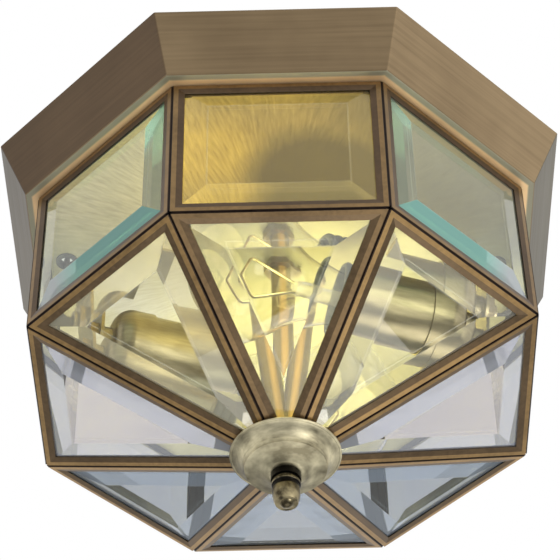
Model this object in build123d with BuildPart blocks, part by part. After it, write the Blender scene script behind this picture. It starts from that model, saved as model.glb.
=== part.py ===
from build123d import *
from math import acos, atan2, cos, degrees, radians, sin, sqrt, tan
import os

# Flush mount ceiling light: an octagonal brass pan, a lantern of bevelled panes that hangs under it on a
# centre rod, and two lamps inside. Millimetres, +Z up. The origin is the middle of the pan's top edge, on
# the ceiling, and everything hangs below it. Face 1 of the octagon looks along -Y, and the faces are
# counted anticlockwise from above.

os.makedirs("parts", exist_ok=True)

# Octagonal ceiling pan, widths across flats
faces = 8
pan_top_width = 258.7
pan_bottom_width = 232.8
pan_depth = 28.2
pan_sheet = 1.0
pan_corner_radius = 1.5
pan_edge_radius = 1.0

# Lantern, measured on the outer faces of its frames
lantern_width = 221.6
lantern_height = 82.0
lantern_seat_gap = 0.3
pyramid_drop = 44.1

# Came frames round the panes
came_depth = 4.0
came_face = 5.2
came_leg = 0.8
came_seam_chamfer = 0.3
came_slope_width = 2.8
came_slope_drop = 0.55
came_tip_radius = 8.0
seam_gap = 0.8
seam_recess = 0.5

# Bevelled panes
glass_thickness = 4.2
glass_edge = 1.4
glass_fit = 0.15
bevel_width = 10.2
glass_tip_radius = 14.0

# Hub plate in the lantern's point
hub_width = 34.0
hub_thickness = 1.6
hub_seat_gap = 0.05

# Centre rod and the lock nuts
rod_diameter = 9.6
thread_fit = 0.1
rod_hole_fit = 0.4
nut_flats = 14.3
nut_thickness = 4.0

# Mounting strap for the ceiling outlet box
strap_end = 4.55
strap_width = 22.0
strap_thickness = 2.5
strap_slot_spacing = 88.9
strap_slot_width = 4.8
strap_slot_length = 14.0

# Finial dish and knob, turned about the centre line
dish_radius = 24.5
dish_wall = 1.0
dish_rim_width = 1.8
dish_rim_height = 1.2
dish_seat_gap = 0.4
dish_shoulder_radius = 9.0
dish_ridge_radius = 18.0
dish_ridge_drop = 8.4
dish_flare_radius = 9.4
dish_flare_drop = 11.2
dish_neck_radius = 7.0
dish_depth = 11.95
knob_gap = 0.1
knob_collar_radius = 6.6
knob_groove_radius = 5.8
knob_collar_height = 3.0
knob_groove_height = 1.15
knob_bead_radius = 6.5
knob_bead_height = 2.2
knob_body_radius = 6.05
knob_body_height = 8.2
knob_body_end_radius = 4.9
knob_button_radius = 3.3
knob_button_height = 1.9
thread_engagement = 8.0
knob_bore_spare = 1.0
knob_thread_fit = 0.3

# Places of the two lamps
lamp_turn = 20.0
lamp_offset = 30.0
lamp_drop = 44.8
bracket_reach = 78.8

# Lampholders, turned about the lamp's axis, with depths measured behind the mouth
shell_diameter = 33.2
shell_wall = 0.5
shell_length = 41.0
shell_lip = 0.5
shell_lip_length = 2.0
shell_fit = 0.15
cap_wall = 0.7
cap_overlap = 4.0
cap_skirt = 9.0
cap_dome = 9.0
cap_hub_radius = 7.2
cap_hub_length = 5.0
cap_bore_radius = 3.3
nipple_spare = 2.0
screw_shell_wall = 0.5
screw_shell_set = 2.0
screw_shell_depth = 27.0
screw_shell_eye = 6.0
core_length = 16.0
core_fit = 0.2
skirt_reach = 12.0
skirt_inner_radius = 15.0
skirt_fit = 0.1
skirt_groove_radius = 16.4
skirt_ridge_radius = 17.4
skirt_ridges = 3
core_boss_radius = 4.0
core_boss_height = 0.6

# Clear lamps with a screw cap
bulb_diameter = 60.0
bulb_reach = 80.0
bulb_wall = 0.8
bulb_neck_diameter = 24.8
bulb_neck_out = 5.0
bulb_neck_in = 8.0
cap_diameter = 26.4
cap_sheet = 0.4
cap_length = 22.0
cap_lip = 0.8
cap_thread_pitch = 3.63
cap_thread_depth = 0.7
cap_thread_turns = 4
cap_fit = 0.25
lamp_thread_fit = 0.3
contact_clearance = 0.1
contact_radius = 4.5
insulator_fit = 0.3
insulator_length = 2.4
flare_fit = 0.1
flare_thickness = 1.0
stem_radius = 3.6
stem_reach = 24.0
wire_radius = 0.6
wire_sink = 1.0
wire_bend = 2.0
wire_root = 2.4
wire_reach = 44.0
filament_span = 13.0
filament_rise = 5.0

# Lamp brackets and their screws
bracket_width = 22.0
bracket_thickness = 1.5
bracket_foot = 20.0
screw_inset = 9.0
screw_pitch = 12.0
screw_diameter = 4.0
screw_hole_fit = 0.2
screw_head_diameter = 8.0
screw_head_height = 2.2
screw_nut_flats = 7.0
screw_nut_height = 3.2

# Lampholder leads, their bushings in the pan and the terminal block above it
lead_diameter = 2.2
lead_gap = 1.3
lead_bend = 7.2
lead_entry_bend = 12.0
lead_straight = 1.0
lead_into_block = 6.0
lead_approach = 16.0
bushing_bore_radius = 3.0
bushing_wall = 1.1
bushing_flange = 1.0
bushing_flange_height = 1.0
bushing_stand = 1.2
bushing_fit = 0.1
block_length = 24.0
block_width = 20.0
block_height = 15.0
block_back = 28.0
block_pitch = 9.0
block_hole_fit = 0.6
block_well_radius = 2.2
block_well_depth = 5.0
block_well_inset = 6.0

# Angles of the octagon
face_turn = 360 / faces
half_turn = face_turn / 2
first_face = -90

# Heights of the main planes
pan_underside = -pan_depth
pan_floor = pan_underside + pan_sheet
lantern_top = pan_underside - lantern_seat_gap
rim_height = lantern_top - lantern_height
apex_height = rim_height - pyramid_drop
lamp_height = pan_underside - lamp_drop

# Shape of one upright face and one sloping face
lantern_apothem = lantern_width / 2
edge_length = lantern_width * tan(radians(half_turn))
slope_length = sqrt(lantern_apothem**2 + pyramid_drop**2)
slope = degrees(atan2(pyramid_drop, lantern_apothem))
upright_half_mitre = half_turn
rim_half_mitre = (90 - slope) / 2
rib_bend = acos(sin(radians(slope)) ** 2 * cos(radians(face_turn)) + cos(radians(slope)) ** 2)
rib_half_mitre = degrees(rib_bend) / 2

side_face = Plane(origin=(0, -lantern_apothem, 0), x_dir=(1, 0, 0), z_dir=(0, -1, 0))
bottom_face = Plane(
    origin=(0, 0, apex_height),
    x_dir=(1, 0, 0),
    z_dir=(0, -sin(radians(slope)), -cos(radians(slope))),
)
side_outline = [
    (-edge_length / 2, rim_height),
    (edge_length / 2, rim_height),
    (edge_length / 2, lantern_top),
    (-edge_length / 2, lantern_top),
]
side_mitres = [rim_half_mitre, upright_half_mitre, 0, upright_half_mitre]
bottom_outline = [(0, 0), (edge_length / 2, slope_length), (-edge_length / 2, slope_length)]
bottom_mitres = [rib_half_mitre, rim_half_mitre, rib_half_mitre]

# Depths behind the lampholder's mouth
cap_front = shell_length - cap_overlap
dome_start = cap_front + cap_skirt
dome_end = dome_start + cap_dome
hub_end = dome_end + cap_hub_length
bracket_back = hub_end + bracket_thickness
nipple_end = bracket_back + nut_thickness + nipple_spare
lead_turn_depth = nipple_end + lead_straight + lead_bend

# Left lamp's axis, which points from its lampholder to the tip of the bulb; the right lamp is half a turn on
lamp_axis = Vector(cos(radians(lamp_turn)), sin(radians(lamp_turn)), 0)
lamp_side = Vector(-sin(radians(lamp_turn)), cos(radians(lamp_turn)), 0)
up = Vector(0, 0, 1)
mouth_back = bracket_reach - hub_end
lamp_mouth = lamp_side * lamp_offset - lamp_axis * mouth_back + up * lamp_height
lamp_section = Plane(origin=lamp_mouth, x_dir=up, z_dir=lamp_side)
lamp_line = Axis(lamp_mouth, lamp_axis)

# Radii that fit one another
rod_radius = rod_diameter / 2
threaded_radius = rod_radius + thread_fit
rod_hole_radius = rod_radius + rod_hole_fit
shell_radius = shell_diameter / 2
cap_bore = shell_radius + shell_fit
cap_skirt_radius = cap_bore + cap_wall
lamp_cap_radius = cap_diameter / 2
screw_shell_radius = lamp_cap_radius + lamp_thread_fit
lead_radius = lead_diameter / 2
lead_height = pan_floor + block_height / 2


def outward(face):
    """Level direction out of one face of the octagon, counted from 0."""
    angle = radians(first_face + face_turn * face)
    return Vector(cos(angle), sin(angle), 0)


def inset(outline, distances):
    """Corners of a convex outline when each edge moves inward by its own distance."""
    lines = []
    for start, end, distance in zip(outline, outline[1:] + outline[:1], distances):
        along = (Vector(*end) - Vector(*start)).normalized()
        lines.append((Vector(*start) + Vector(-along.Y, along.X) * distance, along))
    corners = []
    for (point, along), (next_point, next_along) in zip(lines[-1:] + lines[:-1], lines):
        step = next_point - point
        reach = (step.X * next_along.Y - step.Y * next_along.X) / (
            along.X * next_along.Y - along.Y * next_along.X
        )
        corner = point + along * reach
        corners.append((corner.X, corner.Y))
    return corners


def edge_planes(face, outline, distances, leans):
    """One cutting plane per edge, through a line inside that edge and leaning out of the face."""
    planes = []
    for start, end, distance, lean in zip(outline, outline[1:] + outline[:1], distances, leans):
        along = (Vector(*end) - Vector(*start)).normalized()
        inward = Vector(-along.Y, along.X)
        point = Vector(*start) + inward * distance
        level_inward = face.x_dir * inward.X + face.y_dir * inward.Y
        planes.append(
            Plane(
                origin=face.from_local_coords(point),
                x_dir=face.x_dir * along.X + face.y_dir * along.Y,
                z_dir=level_inward * cos(radians(lean)) + face.z_dir * sin(radians(lean)),
            )
        )
    return planes


def seam_insets(mitres):
    """Distance from the ideal edge to the frame's edge, half the seam away from the mitre plane."""
    return [seam_gap / 2 / cos(radians(mitre)) if mitre else 0 for mitre in mitres]


def lip_insets(mitres):
    """Distance from the ideal edge to the lip of the came, where the glass shows."""
    return [start + came_face for start in seam_insets(mitres)]


def groove_insets(mitres):
    """Distance from the ideal edge to the bottom of the came's groove."""
    groove_floor = came_depth - came_leg
    return [
        start + groove_floor * tan(radians(mitre)) + came_leg
        for start, mitre in zip(seam_insets(mitres), mitres)
    ]


def came_frame(face, outline, mitres):
    """Mitred ring of grooved came round one pane, with its outer side on the face, sloping to the glass."""
    starts = seam_insets(mitres)
    with BuildPart() as ring:
        with BuildSketch(face):
            Polygon(*inset(outline, starts), align=None)
        extrude(amount=-came_depth)
        for plane, mitre in zip(edge_planes(face, outline, starts, mitres), mitres):
            if mitre:
                split(bisect_by=plane, keep=Keep.TOP)
        with BuildSketch(face):
            Polygon(*inset(outline, lip_insets(mitres)), align=None)
        extrude(amount=-came_depth, mode=Mode.SUBTRACT)
        front = ring.faces().sort_by(Axis(face.origin, face.z_dir))[-1]
        chamfer(front.inner_wires().edges(), came_slope_width, came_slope_drop, reference=front)
        front = ring.faces().sort_by(Axis(face.origin, face.z_dir))[-1]
        chamfer(front.outer_wire().edges(), came_seam_chamfer)
        with BuildSketch(face.offset(-came_leg)):
            Polygon(*inset(outline, groove_insets(mitres)), align=None)
        extrude(amount=2 * came_leg - came_depth, mode=Mode.SUBTRACT)
    return ring.part


def bevelled_pane(face, outline, mitres):
    """Pane that sits in the groove of its frame, flat inside and bevelled all round outside."""
    edges = [start + glass_fit for start in groove_insets(mitres)]
    fields = [start + bevel_width for start in lip_insets(mitres)]
    back = face.offset(came_leg - came_depth)
    front = back.offset(glass_thickness)
    rise = glass_thickness - glass_edge
    leans = [degrees(atan2(rise, field - edge)) - 90 for field, edge in zip(fields, edges)]
    with BuildPart() as pane:
        with BuildSketch(back):
            Polygon(*inset(outline, edges), align=None)
        extrude(amount=glass_thickness)
        for plane in edge_planes(front, outline, fields, leans):
            split(bisect_by=plane, keep=Keep.TOP)
    return pane.part


def without_middle(piece, radius):
    """Piece with a round hole of this radius cut down the centre line."""
    with BuildPart() as cut:
        add(piece)
        with BuildSketch(Plane.XY.offset(rim_height)):
            Circle(radius)
        extrude(amount=-2 * pyramid_drop, mode=Mode.SUBTRACT)
    return cut.part


def sloped_octagon(top_width, bottom_width, top, bottom):
    """Solid octagon with sloping sides between two heights."""
    lean = atan2((top_width - bottom_width) / 2, top - bottom)
    with BuildPart() as solid:
        with BuildSketch(Plane.XY.offset(top)):
            RegularPolygon(top_width / 2, faces, major_radius=False, rotation=half_turn)
        extrude(amount=bottom - top)
        for face in range(faces):
            side = outward(face)
            wall = Plane(origin=side * (top_width / 2) + up * top, z_dir=side * cos(lean) - up * sin(lean))
            split(bisect_by=wall, keep=Keep.BOTTOM)
    return solid.part


def lamp_point(depth, side=0.0, height=lamp_height):
    """Point beside the left lamp's axis, at a depth behind the lampholder's mouth."""
    level = lamp_side * (lamp_offset + side) - lamp_axis * (mouth_back + depth)
    return Vector(level.X, level.Y, height)


def both_sides(piece, name):
    """Writes the left piece and its twin, half a turn round the centre line, as two nodes."""
    for side, turn in (("left", 0), ("right", 180)):
        with BuildPart() as twin:
            add(piece, rotation=(0, 0, turn))
        twin.part.label = f"{name}_{side}"
        export_step(twin.part, f"parts/{twin.part.label}.step")


def pair(piece, name):
    """Writes the left piece and its twin, half a turn round the centre line, as one node."""
    with BuildPart() as group:
        add(piece)
        add(piece, rotation=(0, 0, 180))
    group.part.label = name
    export_step(group.part, f"parts/{name}.step")


# Ceiling pan, with holes for the rod, the bracket screws and the bushings
pan_lean = atan2((pan_top_width - pan_bottom_width) / 2, pan_depth)
pan_level_wall = pan_sheet / cos(pan_lean)
hollow_top_width = pan_top_width - 2 * pan_level_wall
hollow_bottom_width = pan_bottom_width + 2 * pan_sheet * tan(pan_lean) - 2 * pan_level_wall
screw_depth = hub_end - screw_inset
screw_spots = [lamp_point(screw_depth, side * screw_pitch / 2) for side in (-1, 1)]
bushing_spot = lamp_point(lead_turn_depth)
bushing_radius = bushing_bore_radius + bushing_wall
pan_outside = sloped_octagon(pan_top_width, pan_bottom_width, 0, pan_underside)
pan_hollow = sloped_octagon(hollow_top_width, hollow_bottom_width, 0, pan_floor)
with BuildPart() as ceiling_pan:
    add(pan_outside)
    fillet(ceiling_pan.edges().filter_by(Plane.XY, reverse=True), pan_corner_radius)
    fillet(ceiling_pan.faces().sort_by(Axis.Z)[0].edges(), pan_edge_radius)
    add(pan_hollow, mode=Mode.SUBTRACT)
    with BuildSketch(Plane.XY.offset(pan_underside)):
        Circle(rod_hole_radius)
        for sign in (1, -1):
            with Locations(*[(sign * spot.X, sign * spot.Y) for spot in screw_spots]):
                Circle(screw_diameter / 2 + screw_hole_fit)
            with Locations((sign * bushing_spot.X, sign * bushing_spot.Y)):
                Circle(bushing_radius + bushing_fit)
    extrude(amount=pan_sheet, mode=Mode.SUBTRACT)
ceiling_pan.part.label = "ceiling_pan"
export_step(ceiling_pan.part, "parts/ceiling_pan.step")

# Mounting strap, level with the ceiling, tapped in the middle for the rod
strap_length = strap_slot_spacing + strap_slot_length + 2 * strap_end
with BuildPart() as mounting_strap:
    with BuildSketch():
        SlotOverall(strap_length, strap_width)
        Circle(threaded_radius, mode=Mode.SUBTRACT)
        with Locations((-strap_slot_spacing / 2, 0), (strap_slot_spacing / 2, 0)):
            SlotOverall(strap_slot_length, strap_slot_width, mode=Mode.SUBTRACT)
    extrude(amount=-strap_thickness)
mounting_strap.part.label = "mounting_strap"
export_step(mounting_strap.part, "parts/mounting_strap.step")

# Hub plate, seated on the inner sides of the sloping frames
hub_floor = (
    apex_height + came_depth / cos(radians(slope)) + hub_width / 2 * tan(radians(slope)) + hub_seat_gap
)
with BuildPart() as hub_plate:
    with BuildSketch(Plane.XY.offset(hub_floor)):
        RegularPolygon(hub_width / 2, faces, major_radius=False, rotation=half_turn)
        Circle(rod_hole_radius, mode=Mode.SUBTRACT)
    extrude(amount=hub_thickness)
hub_plate.part.label = "hub_plate"
export_step(hub_plate.part, "parts/hub_plate.step")

# Heights of the finial, from where the dish's rim meets the ribs
dish_rim_inner = dish_radius - dish_rim_width
rib_rise = tan(radians(slope)) * cos(radians(half_turn))
dish_top = apex_height + dish_rim_inner * rib_rise - dish_seat_gap
dish_bottom = dish_top - dish_depth
knob_top = dish_bottom - knob_gap
rod_end = knob_top - thread_engagement

# Centre rod, from the strap to the inside of the knob
with BuildPart() as stem_rod:
    with BuildSketch():
        Circle(rod_radius)
    extrude(amount=rod_end)
    chamfer(stem_rod.edges().sort_by(Axis.Z)[0], rod_radius / 6)
stem_rod.part.label = "stem_rod"
export_step(stem_rod.part, "parts/stem_rod.step")

# Lock nuts: under the strap, under the pan and behind each bracket
bracket_nut = lamp_point(bracket_back)
with BuildPart() as lock_nuts:
    for top in (-strap_thickness, pan_underside):
        with BuildSketch(Plane.XY.offset(top)):
            RegularPolygon(nut_flats / 2, 6, major_radius=False)
            Circle(threaded_radius, mode=Mode.SUBTRACT)
        extrude(amount=-nut_thickness)
    for sign in (1, -1):
        nut_spot = (sign * bracket_nut.X, sign * bracket_nut.Y, bracket_nut.Z)
        with BuildSketch(Plane(origin=nut_spot, x_dir=up, z_dir=lamp_axis * -sign)):
            RegularPolygon(nut_flats / 2, 6, major_radius=False)
            Circle(threaded_radius, mode=Mode.SUBTRACT)
        extrude(amount=nut_thickness)
lock_nuts.part.label = "lock_nuts"
export_step(lock_nuts.part, "parts/lock_nuts.step")

# Came frames and panes, one upright and one sloping set, each turned round the octagon
side_frame = came_frame(side_face, side_outline, side_mitres)
side_pane = bevelled_pane(side_face, side_outline, side_mitres)
bottom_frame = without_middle(came_frame(bottom_face, bottom_outline, bottom_mitres), came_tip_radius)
bottom_pane = without_middle(bevelled_pane(bottom_face, bottom_outline, bottom_mitres), glass_tip_radius)
lantern_pieces = {
    "side_frame": side_frame,
    "side_pane": side_pane,
    "bottom_frame": bottom_frame,
    "bottom_pane": bottom_pane,
}
for name, piece in lantern_pieces.items():
    for face in range(faces):
        with BuildPart() as lantern_piece:
            add(piece, rotation=(0, 0, face_turn * face))
        lantern_piece.part.label = f"{name}_{face + 1}"
        export_step(lantern_piece.part, f"parts/{lantern_piece.part.label}.step")


def seam_strip(start, end, outward_line, mitre):
    """Bar of solder in the mitre between two frames, set back from their outer edges."""
    depth = came_depth / cos(radians(mitre)) - seam_recess
    middle = Plane(origin=(start + end) / 2, x_dir=end - start, z_dir=outward_line)
    with BuildPart() as strip:
        with BuildSketch(middle.offset(-seam_recess)):
            Rectangle((end - start).length, seam_gap)
        extrude(amount=-depth)
    return strip.part


# Solder seams: the uprights, the rim and the ribs, which run together inside each corner of the rim
corner_gap = came_depth * tan(radians(half_turn))
corner_angle = radians(first_face + half_turn)
corner_line = Vector(cos(corner_angle), sin(corner_angle), 0)
corner_level = corner_line * (lantern_apothem / cos(radians(half_turn)))
rim_corner = corner_level + up * rim_height
top_corner = corner_level + up * lantern_top
rib_foot = corner_line * came_tip_radius + up * (apex_height + came_tip_radius * rib_rise)
near_corner = Vector(-rim_corner.X, rim_corner.Y, rim_corner.Z)
rib_line = corner_line * (sin(radians(slope)) * cos(radians(half_turn))) - up * cos(radians(slope))
rim_line = side_face.z_dir + bottom_face.z_dir
rim_end = Vector(corner_gap, 0, 0)
rib_end = (rim_corner - rib_foot).normalized() * corner_gap
seams = [
    seam_strip(rim_corner + up * corner_gap, top_corner, corner_line, upright_half_mitre),
    seam_strip(near_corner + rim_end, rim_corner - rim_end, rim_line, rim_half_mitre),
    seam_strip(rib_foot + rib_end, rim_corner - rib_end, rib_line, rib_half_mitre),
]
with BuildPart() as solder_seams:
    for seam in seams:
        for face in range(faces):
            add(seam, rotation=(0, 0, face_turn * face))
solder_seams.part.label = "solder_seams"
export_step(solder_seams.part, "parts/solder_seams.step")

# Finial dish: rolled rim, full shoulder, dome and flared neck
with BuildPart() as finial_dish:
    with BuildSketch(Plane.XZ):
        with BuildLine():
            ridge = (dish_ridge_radius, dish_top - dish_ridge_drop)
            flare = (dish_flare_radius, dish_top - dish_flare_drop)
            neck = (dish_neck_radius, dish_bottom)
            rim_bead = ThreePointArc(
                (dish_radius - dish_wall, dish_top),
                (dish_radius, dish_top - dish_rim_height / 2),
                (dish_radius - dish_wall, dish_top - dish_rim_height),
            )
            shoulder = RadiusArc(rim_bead @ 1, ridge, -dish_shoulder_radius)
            dome = RadiusArc(ridge, flare, -dish_radius)
            neck_flare = RadiusArc(flare, neck, dish_flare_radius / 2)
            inner_neck = (rod_hole_radius, dish_bottom + dish_wall)
            inner_flare = (dish_flare_radius, dish_top - dish_flare_drop + 2 * dish_wall)
            inner_ridge = (dish_ridge_radius, dish_top - dish_ridge_drop + 2 * dish_wall)
            inner_rim = (dish_rim_inner, dish_top - dish_rim_height)
            Polyline(neck, (rod_hole_radius, dish_bottom), inner_neck, inner_flare, inner_ridge)
            inner_shoulder = RadiusArc(inner_ridge, inner_rim, dish_shoulder_radius - dish_wall)
            Polyline(inner_rim, (dish_rim_inner, dish_top), rim_bead @ 0)
        make_face()
    revolve(axis=Axis.Z)
finial_dish.part.label = "finial_dish"
export_step(finial_dish.part, "parts/finial_dish.step")

# Finial knob: collar, two grooves with a bead between, body and button, with a blind threaded hole
with BuildPart() as finial_knob:
    groove_top = knob_top - knob_collar_height
    bead_top = groove_top - knob_groove_height
    lower_groove = bead_top - knob_bead_height
    body_top = lower_groove - knob_groove_height
    body_end = body_top - knob_body_height
    knob_end = body_end - knob_button_height
    bore_end = knob_top - thread_engagement - knob_bore_spare
    knob_bore = rod_radius + knob_thread_fit
    with BuildSketch(Plane.XZ):
        with BuildLine():
            collar = Polyline(
                (0, bore_end),
                (knob_bore, bore_end),
                (knob_bore, knob_top),
                (knob_collar_radius, knob_top),
                (knob_collar_radius, groove_top),
                (knob_groove_radius, groove_top),
                (knob_groove_radius, bead_top),
            )
            bead = ThreePointArc(
                collar @ 1,
                (knob_bead_radius, (bead_top + lower_groove) / 2),
                (knob_groove_radius, lower_groove),
            )
            groove = Line(bead @ 1, (knob_groove_radius, body_top))
            body = ThreePointArc(
                groove @ 1,
                (knob_body_radius, body_top - knob_body_height / 3),
                (knob_body_end_radius, body_end),
            )
            shoulder = Line(body @ 1, (knob_button_radius, body_end))
            button = TangentArc((0, knob_end), shoulder @ 1, tangent=(1, 0))
            Line(button @ 0, collar @ 0)
        make_face()
    revolve(axis=Axis.Z)
finial_knob.part.label = "finial_knob"
export_step(finial_knob.part, "parts/finial_knob.step")

# Lamp bracket: upright strap behind the lampholder and a foot screwed under the pan
bracket_face = Plane(origin=lamp_point(bracket_back), x_dir=lamp_side, z_dir=lamp_axis)
with BuildPart() as lamp_bracket:
    with BuildSketch(bracket_face):
        Circle(bracket_width / 2)
        with Locations((0, lamp_drop / 2)):
            Rectangle(bracket_width, lamp_drop)
        Circle(threaded_radius, mode=Mode.SUBTRACT)
    extrude(amount=bracket_thickness)
    with BuildSketch(Plane(origin=lamp_point(bracket_back, 0, pan_underside), x_dir=lamp_axis, z_dir=up)):
        with Locations((bracket_foot / 2, 0)):
            Rectangle(bracket_foot, bracket_width)
    extrude(amount=-bracket_thickness)
    with BuildSketch(Plane.XY.offset(pan_underside)):
        with Locations(*[(spot.X, spot.Y) for spot in screw_spots]):
            Circle(screw_diameter / 2 + screw_hole_fit)
    extrude(amount=-bracket_thickness, mode=Mode.SUBTRACT)
pair(lamp_bracket.part, "lamp_brackets")

# Bracket screws, with their nuts above the pan
screw_seat = pan_underside - bracket_thickness
screw_length = bracket_thickness + pan_sheet + screw_nut_height
with BuildPart() as bracket_screw:
    for spot in screw_spots:
        with BuildSketch(Plane(origin=(spot.X, spot.Y, screw_seat))):
            Circle(screw_head_diameter / 2)
        extrude(amount=-screw_head_height)
        with BuildSketch(Plane(origin=(spot.X, spot.Y, screw_seat))):
            Circle(screw_diameter / 2)
        extrude(amount=screw_length)
        with BuildSketch(Plane(origin=(spot.X, spot.Y, pan_floor))):
            RegularPolygon(screw_nut_flats / 2, 6, major_radius=False)
        extrude(amount=screw_nut_height)
pair(bracket_screw.part, "bracket_screws")

# Lampholder cap: skirt over the shell, dome, hub and hollow threaded nipple
with BuildPart() as socket_cap:
    with BuildSketch(lamp_section):
        with BuildLine():
            skirt = Line((cap_skirt_radius, -cap_front), (cap_skirt_radius, -dome_start))
            dome = TangentArc(skirt @ 1, (cap_hub_radius, -dome_end), tangent=skirt % 1)
            inner_skirt = cap_bore - cap_wall
            shoulder = Polyline(
                dome @ 1,
                (cap_hub_radius, -hub_end),
                (rod_radius, -hub_end),
                (rod_radius, -nipple_end),
                (cap_bore_radius, -nipple_end),
                (cap_bore_radius, -dome_end + cap_wall),
                (cap_hub_radius - cap_wall, -dome_end + cap_wall),
            )
            inner_dome = TangentArc((inner_skirt, -dome_start), shoulder @ 1, tangent=skirt % 1)
            Polyline(
                inner_dome @ 0,
                (inner_skirt, -shell_length),
                (cap_bore, -shell_length),
                (cap_bore, -cap_front),
                skirt @ 0,
            )
        make_face()
    revolve(axis=lamp_line)
both_sides(socket_cap.part, "socket_cap")

# Lampholder shell, with a rolled lip at the mouth
with BuildPart() as socket_shell:
    with BuildSketch(lamp_section):
        inner_shell = shell_radius - shell_wall
        with BuildLine():
            lip = ThreePointArc(
                (shell_radius, -shell_lip_length),
                (shell_radius + shell_lip, -shell_lip_length / 2),
                (shell_radius, 0),
            )
            Polyline(
                lip @ 1,
                (inner_shell, 0),
                (inner_shell, -shell_length),
                (shell_radius, -shell_length),
                lip @ 0,
            )
        make_face()
    revolve(axis=lamp_line)
both_sides(socket_shell.part, "socket_shell")

# Threaded screw shell: a cup with an eye in its floor
with BuildPart() as screw_shell:
    outer_screw_shell = screw_shell_radius + screw_shell_wall
    with BuildSketch(lamp_section):
        with BuildLine():
            Polyline(
                (screw_shell_radius, -screw_shell_set),
                (outer_screw_shell, -screw_shell_set),
                (outer_screw_shell, -screw_shell_depth),
                (screw_shell_eye, -screw_shell_depth),
                (screw_shell_eye, -screw_shell_depth + screw_shell_wall),
                (screw_shell_radius, -screw_shell_depth + screw_shell_wall),
                close=True,
            )
        make_face()
    revolve(axis=lamp_line)
pair(screw_shell.part, "screw_shells")

# Ribbed skirt, held inside the shell and standing out of its mouth
skirt_pitch = (skirt_reach - skirt_fit) / skirt_ridges
with BuildPart() as socket_skirt:
    with BuildSketch(lamp_section):
        with BuildLine():
            for ridge in range(skirt_ridges):
                ridge_start = skirt_fit + ridge * skirt_pitch
                ThreePointArc(
                    (skirt_groove_radius, ridge_start),
                    (skirt_ridge_radius, ridge_start + skirt_pitch / 2),
                    (skirt_groove_radius, ridge_start + skirt_pitch),
                )
            Polyline(
                (skirt_groove_radius, skirt_fit),
                (shell_radius - shell_wall - skirt_fit, skirt_fit),
                (shell_radius - shell_wall - skirt_fit, -screw_shell_depth + skirt_fit),
                (skirt_inner_radius, -screw_shell_depth + skirt_fit),
                (skirt_inner_radius, skirt_reach),
                (skirt_groove_radius, skirt_reach),
            )
        make_face()
    revolve(axis=lamp_line)
pair(socket_skirt.part, "socket_skirts")

# Core that carries the screw shell and the middle contact
core_radius = shell_radius - shell_wall - core_fit
core_neck_radius = cap_bore - cap_wall - core_fit
with BuildPart() as socket_core:
    with BuildSketch(lamp_section):
        with BuildLine():
            Polyline(
                (0, -screw_shell_depth + screw_shell_wall + core_boss_height),
                (core_boss_radius, -screw_shell_depth + screw_shell_wall + core_boss_height),
                (core_boss_radius, -screw_shell_depth),
                (core_radius, -screw_shell_depth),
                (core_radius, -shell_length + core_fit),
                (core_neck_radius, -shell_length + core_fit),
                (core_neck_radius, -screw_shell_depth - core_length),
                (0, -screw_shell_depth - core_length),
                close=True,
            )
        make_face()
    revolve(axis=lamp_line)
pair(socket_core.part, "socket_cores")

# Lamp base: insulator and middle contact, which only slide along the axis
contact_tip = screw_shell_depth - screw_shell_wall - core_boss_height - contact_clearance
cap_root = lamp_cap_radius - cap_thread_depth
cap_inner = cap_root - cap_sheet
insulator_radius = cap_inner - insulator_fit
with BuildPart() as bulb_contact:
    with BuildSketch(lamp_section):
        with BuildLine():
            Polyline(
                (0, -cap_length),
                (insulator_radius, -cap_length),
                (contact_radius, -cap_length - insulator_length),
                (contact_radius, -contact_tip),
                (0, -contact_tip),
                close=True,
            )
        make_face()
    revolve(axis=lamp_line)
both_sides(bulb_contact.part, "bulb_contact")

# Lamp cap: thin tube with a rolled thread
with BuildPart() as bulb_cap:
    thread_start = cap_length - cap_thread_pitch / 2
    with BuildSketch(lamp_section):
        with BuildLine():
            Polyline(
                (cap_root, -thread_start),
                (cap_root, -cap_length),
                (cap_inner, -cap_length),
                (cap_inner, cap_lip),
                (cap_root, cap_lip),
                (cap_root, cap_thread_turns * cap_thread_pitch - thread_start),
            )
            for turn in range(cap_thread_turns):
                crest_start = turn * cap_thread_pitch - thread_start
                ThreePointArc(
                    (cap_root, crest_start),
                    (lamp_cap_radius, crest_start + cap_thread_pitch / 2),
                    (cap_root, crest_start + cap_thread_pitch),
                )
        make_face()
    revolve(axis=lamp_line)
both_sides(bulb_cap.part, "bulb_cap")


def bulb_curve(ball_radius, neck_radius):
    """Start, ends of the arcs and tip of a bulb's side: neck, hollow arc and ball, tangent throughout."""
    ball_middle = bulb_reach - bulb_diameter / 2
    rise = ball_middle - bulb_neck_out
    hollow = (neck_radius**2 + rise**2 - ball_radius**2) / (2 * (ball_radius - neck_radius))
    share = ball_radius / (ball_radius + hollow)
    meet = (share * (neck_radius + hollow), ball_middle - share * rise)
    return (neck_radius, -bulb_neck_in), (neck_radius, bulb_neck_out), meet, (0, ball_middle + ball_radius)


# Glass bulb: thin shell, open at the neck
bulb_neck_radius = min(bulb_neck_diameter / 2, cap_inner - cap_fit)
with BuildPart() as bulb_glass:
    with BuildSketch(lamp_section):
        with BuildLine():
            ends = []
            for inner in (0, bulb_wall):
                start, neck_end, meet, tip = bulb_curve(bulb_diameter / 2 - inner, bulb_neck_radius - inner)
                neck_line = Line(start, neck_end)
                hollow_arc = TangentArc(neck_line @ 1, meet, tangent=neck_line % 1)
                TangentArc(hollow_arc @ 1, tip, tangent=hollow_arc % 1)
                ends.append((start, tip))
            Line(ends[0][0], ends[1][0])
            Line(ends[0][1], ends[1][1])
        make_face()
    revolve(axis=lamp_line)
both_sides(bulb_glass.part, "bulb_glass")

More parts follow.
